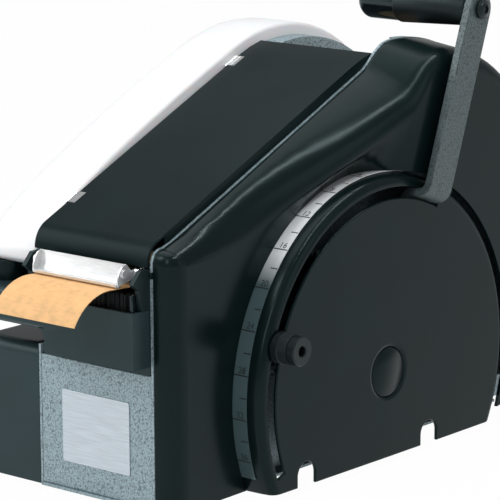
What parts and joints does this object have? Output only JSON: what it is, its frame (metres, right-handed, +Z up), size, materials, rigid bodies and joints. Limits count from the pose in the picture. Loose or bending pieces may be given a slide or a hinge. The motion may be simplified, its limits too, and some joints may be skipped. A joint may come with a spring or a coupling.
{
  "type": "gummed tape dispenser",
  "caption": "Manual lever dispenser for water-activated paper tape: steel frame, moulded covers, dial with length stop, geared feed wheel, shear, brush tank and side water bottle.",
  "frame": {"origin": "under the middle of the machine's overall box, on the surface that the rubber feet stand on", "axes": "+Z up, -Y towards the user, where the tape comes out, +X towards the lever side"},
  "size_m": [0.2329, 0.4647, 0.3383],
  "materials": {
    "hammertone": "hammertone enamel",
    "hammertone_dark": "dark hammertone enamel",
    "bare_label": "satin, bare",
    "rubber": "matt",
    "black_plastic": "moulded, fine grain, semi gloss",
    "black_disc": "matt",
    "bristle": "bristle",
    "white_plastic": "translucent white",
    "scale_strip": "satin",
    "chrome": "polished",
    "steel": "turned",
    "bronze": "sintered bronze",
    "black_knob": "satin",
    "kraft": "gummed kraft paper",
    "paper_core": "board"
  },
  "bodies": {
    "frame": {"base_plate": "hammertone", "left_side_plate": "hammertone", "right_side_plate": "hammertone", "front_plate": "hammertone", "label_plate": "bare_label", "rear_panel": "hammertone", "rubber_feet": "rubber", "left_guide_disc": "black_disc", "right_guide_disc": "black_disc", "disc_spacers": "steel", "basket_axles": "steel", "brush_tank": "black_plastic", "front_brush": "bristle", "rear_brush": "bristle", "left_cover": "black_plastic", "right_cover": "black_plastic", "dial_housing": "black_plastic", "length_scale": "scale_strip", "axis_plug": "black_plastic", "lid_hinge_clips": "chrome", "weight_pin": "black_disc", "main_shaft": "steel", "cluster_axle": "steel", "feed_bushes": "bronze", "roller_axle": "steel", "blade_bridge": "hammertone_dark", "lower_blade": "steel", "tape_guide_rod": "chrome", "tape_web": "kraft", "tape_end": "kraft", "blade_guides": "hammertone_dark", "weight_brackets": "black_disc"},
    "bottle": {"water_bottle": "white_plastic", "bottle_cap": "black_plastic"},
    "lid": {"top_cover": "black_plastic"},
    "weight": {"weight_plate": "chrome"},
    "lever": {"lever_hub": "hammertone_dark", "sector_gear": "steel", "lever_arm": "hammertone_dark", "grip_bolt": "black_knob"},
    "grip": {"lever_grip": "black_knob"},
    "stop": {"stop_knob": "black_knob", "stop_stud": "steel"},
    "cluster": {"cluster_gear": "steel"},
    "feed": {"feed_shaft": "steel", "feed_gear": "steel", "feed_wheel": "steel", "feed_tyre": "rubber"},
    "press_roller": {"pressure_roller": "rubber"},
    "shear": {"upper_blade": "steel"},
    "roll": {"tape_roll": "kraft", "tape_core": "paper_core"},
    "front_roller": {"front_basket_roller": "black_disc"},
    "rear_roller": {"rear_basket_roller": "black_disc"}
  },
  "joints": [
    {"name": "lever_pull", "type": "hinge", "parent": "frame", "child": "lever", "pos_m": [0.08955, 0.03315, 0.0695], "axis": [1, 0, 0], "range_deg": [0, 80]},
    {"name": "grip_spin", "type": "hinge", "parent": "lever", "child": "grip", "pos_m": [0.04955, 0.12515, 0.32228], "axis": [1, 0, 0], "continuous": true},
    {"name": "stop_knob_set", "type": "hinge", "parent": "frame", "child": "stop", "pos_m": [0.09955, 0.03315, 0.0695], "axis": [1, 0, 0], "range_deg": [0, 34.5]},
    {"name": "cluster_spin", "type": "hinge", "parent": "frame", "child": "cluster", "pos_m": [0.06455, -0.01693, 0.11249], "axis": [1, 0, 0], "range_deg": [-516.7, 10]},
    {"name": "feed_spin", "type": "hinge", "parent": "frame", "child": "feed", "pos_m": [-0.00045, -0.08835, 0.1216], "axis": [1, 0, 0], "range_deg": [-10, 1023.3]},
    {"name": "press_roller_spin", "type": "hinge", "parent": "frame", "child": "press_roller", "pos_m": [-0.00045, -0.08835, 0.1717], "axis": [1, 0, 0], "range_deg": [-3151.3, 10]},
    {"name": "roll_spin", "type": "hinge", "parent": "frame", "child": "roll", "pos_m": [-0.00045, 0.08965, 0.142], "axis": [1, 0, 0], "range_deg": [-10, 387]},
    {"name": "front_roller_spin", "type": "hinge", "parent": "frame", "child": "front_roller", "pos_m": [-0.00045, 0.04465, 0.04239], "axis": [1, 0, 0], "range_deg": [-4198.4, 10]},
    {"name": "rear_roller_spin", "type": "hinge", "parent": "frame", "child": "rear_roller", "pos_m": [-0.00045, 0.13465, 0.04239], "axis": [1, 0, 0], "range_deg": [-4198.4, 10]},
    {"name": "lid_open", "type": "hinge", "parent": "frame", "child": "lid", "pos_m": [-0.05375, -0.05235, 0.24093], "axis": [0, 0.915, 0.4035], "range_deg": [-88, 0]},
    {"name": "weight_lift", "type": "hinge", "parent": "frame", "child": "weight", "pos_m": [-0.00045, -0.17135, 0.17], "axis": [1, 0, 0], "range_deg": [-30, 0]},
    {"name": "blade_stroke", "type": "slide", "parent": "frame", "child": "shear", "axis": [0, 0, -1], "range_m": [0, 0.0078], "stiffness_N_per_m": 150, "springref_m": -0.004},
    {"name": "bottle_lift", "type": "slide", "parent": "frame", "child": "bottle", "axis": [0, 0, 1], "range_m": [0, 0.08]}
  ],
  "couplings": [
    {"joint": "cluster_spin", "follows": "lever_pull", "ratio": -6.3333},
    {"joint": "feed_spin", "follows": "lever_pull", "ratio": 12.667},
    {"joint": "press_roller_spin", "follows": "lever_pull", "ratio": -39.267},
    {"joint": "roll_spin", "follows": "lever_pull", "ratio": 4.712},
    {"joint": "front_roller_spin", "follows": "lever_pull", "ratio": -52.356},
    {"joint": "rear_roller_spin", "follows": "lever_pull", "ratio": -52.356}
  ]
}
